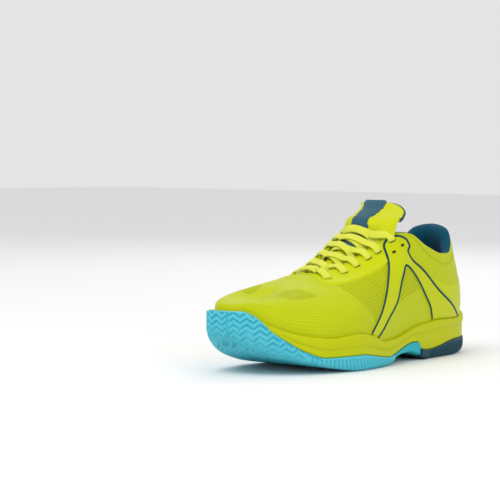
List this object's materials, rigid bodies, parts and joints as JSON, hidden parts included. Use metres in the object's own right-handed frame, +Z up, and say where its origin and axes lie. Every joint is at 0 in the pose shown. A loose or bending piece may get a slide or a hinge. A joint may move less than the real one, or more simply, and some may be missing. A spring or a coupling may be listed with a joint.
{
  "type": "court shoe",
  "caption": "Low-cut indoor court shoe for the left foot, laced, with wrapped rubber outsole, foam midsole, A-shaped side frame, padded collar and padded tongue.",
  "frame": {"origin": "middle of the rest plane, under the centre of the shoe's bounding box", "axes": "+X to the toe, +Y to the little-toe side, +Z up"},
  "size_m": [0.3008, 0.102, 0.1334],
  "materials": {
    "cyan_rubber": "matt moulded rubber with a herringbone tread",
    "navy_rubber": "matt moulded rubber with ribs",
    "cyan_plate": "satin moulded plate",
    "lime_foam": "matt moulded foam with a fine skin",
    "lime_mesh": "knitted mesh",
    "lime_film": "soft moulded film",
    "navy_trim": "dark woven and printed trim",
    "petrol_lining": "brushed knitted lining",
    "pale_foam": "open-cell foam",
    "board": "stiffened non-woven board",
    "pale_lace": "flat braided lace",
    "lace_tip": "clear shrunk sleeve"
  },
  "bodies": {
    "root": {"outsole_forefoot": "cyan_rubber", "outsole_heel": "navy_rubber", "midfoot_shank": "cyan_plate", "midsole": "lime_foam", "insole_board": "board", "vamp": "lime_mesh", "quarter_lateral": "lime_mesh", "quarter_medial": "lime_mesh", "eyestay_lateral": "lime_film", "eyestay_medial": "lime_film", "side_frame_lateral": "lime_film", "side_frame_medial": "lime_film", "frame_piping_front": "navy_trim", "frame_piping_back": "navy_trim", "frame_piping_arch": "navy_trim", "toe_film": "lime_film", "heel_overlay": "lime_film", "heel_tab": "lime_film", "toe_puff": "board", "heel_counter": "board", "collar_foam": "pale_foam", "collar_lining": "petrol_lining", "tongue_base": "lime_mesh", "tongue_base_lining": "petrol_lining", "tongue_strip_lower": "navy_trim", "lace": "pale_lace", "lace_tip_medial": "lace_tip", "lace_tip_lateral": "lace_tip"},
    "tongue_tab": {"tongue_top": "lime_mesh", "tongue_top_lining": "petrol_lining", "tongue_strip_upper": "navy_trim", "tongue_binding": "navy_trim"},
    "sockliner": {"sockliner": "petrol_lining"}
  },
  "joints": [
    {"name": "tongue_fold", "type": "hinge", "parent": "root", "child": "tongue_tab", "pos_m": [-0.0236, -0.0048, 0.112], "axis": [0, 1, 0], "range_deg": [-10, 30]},
    {"name": "sockliner_lift", "type": "hinge", "parent": "root", "child": "sockliner", "pos_m": [0.1371, -0.0048, 0.032], "axis": [0, 1, 0], "range_deg": [0, 4]}
  ]
}
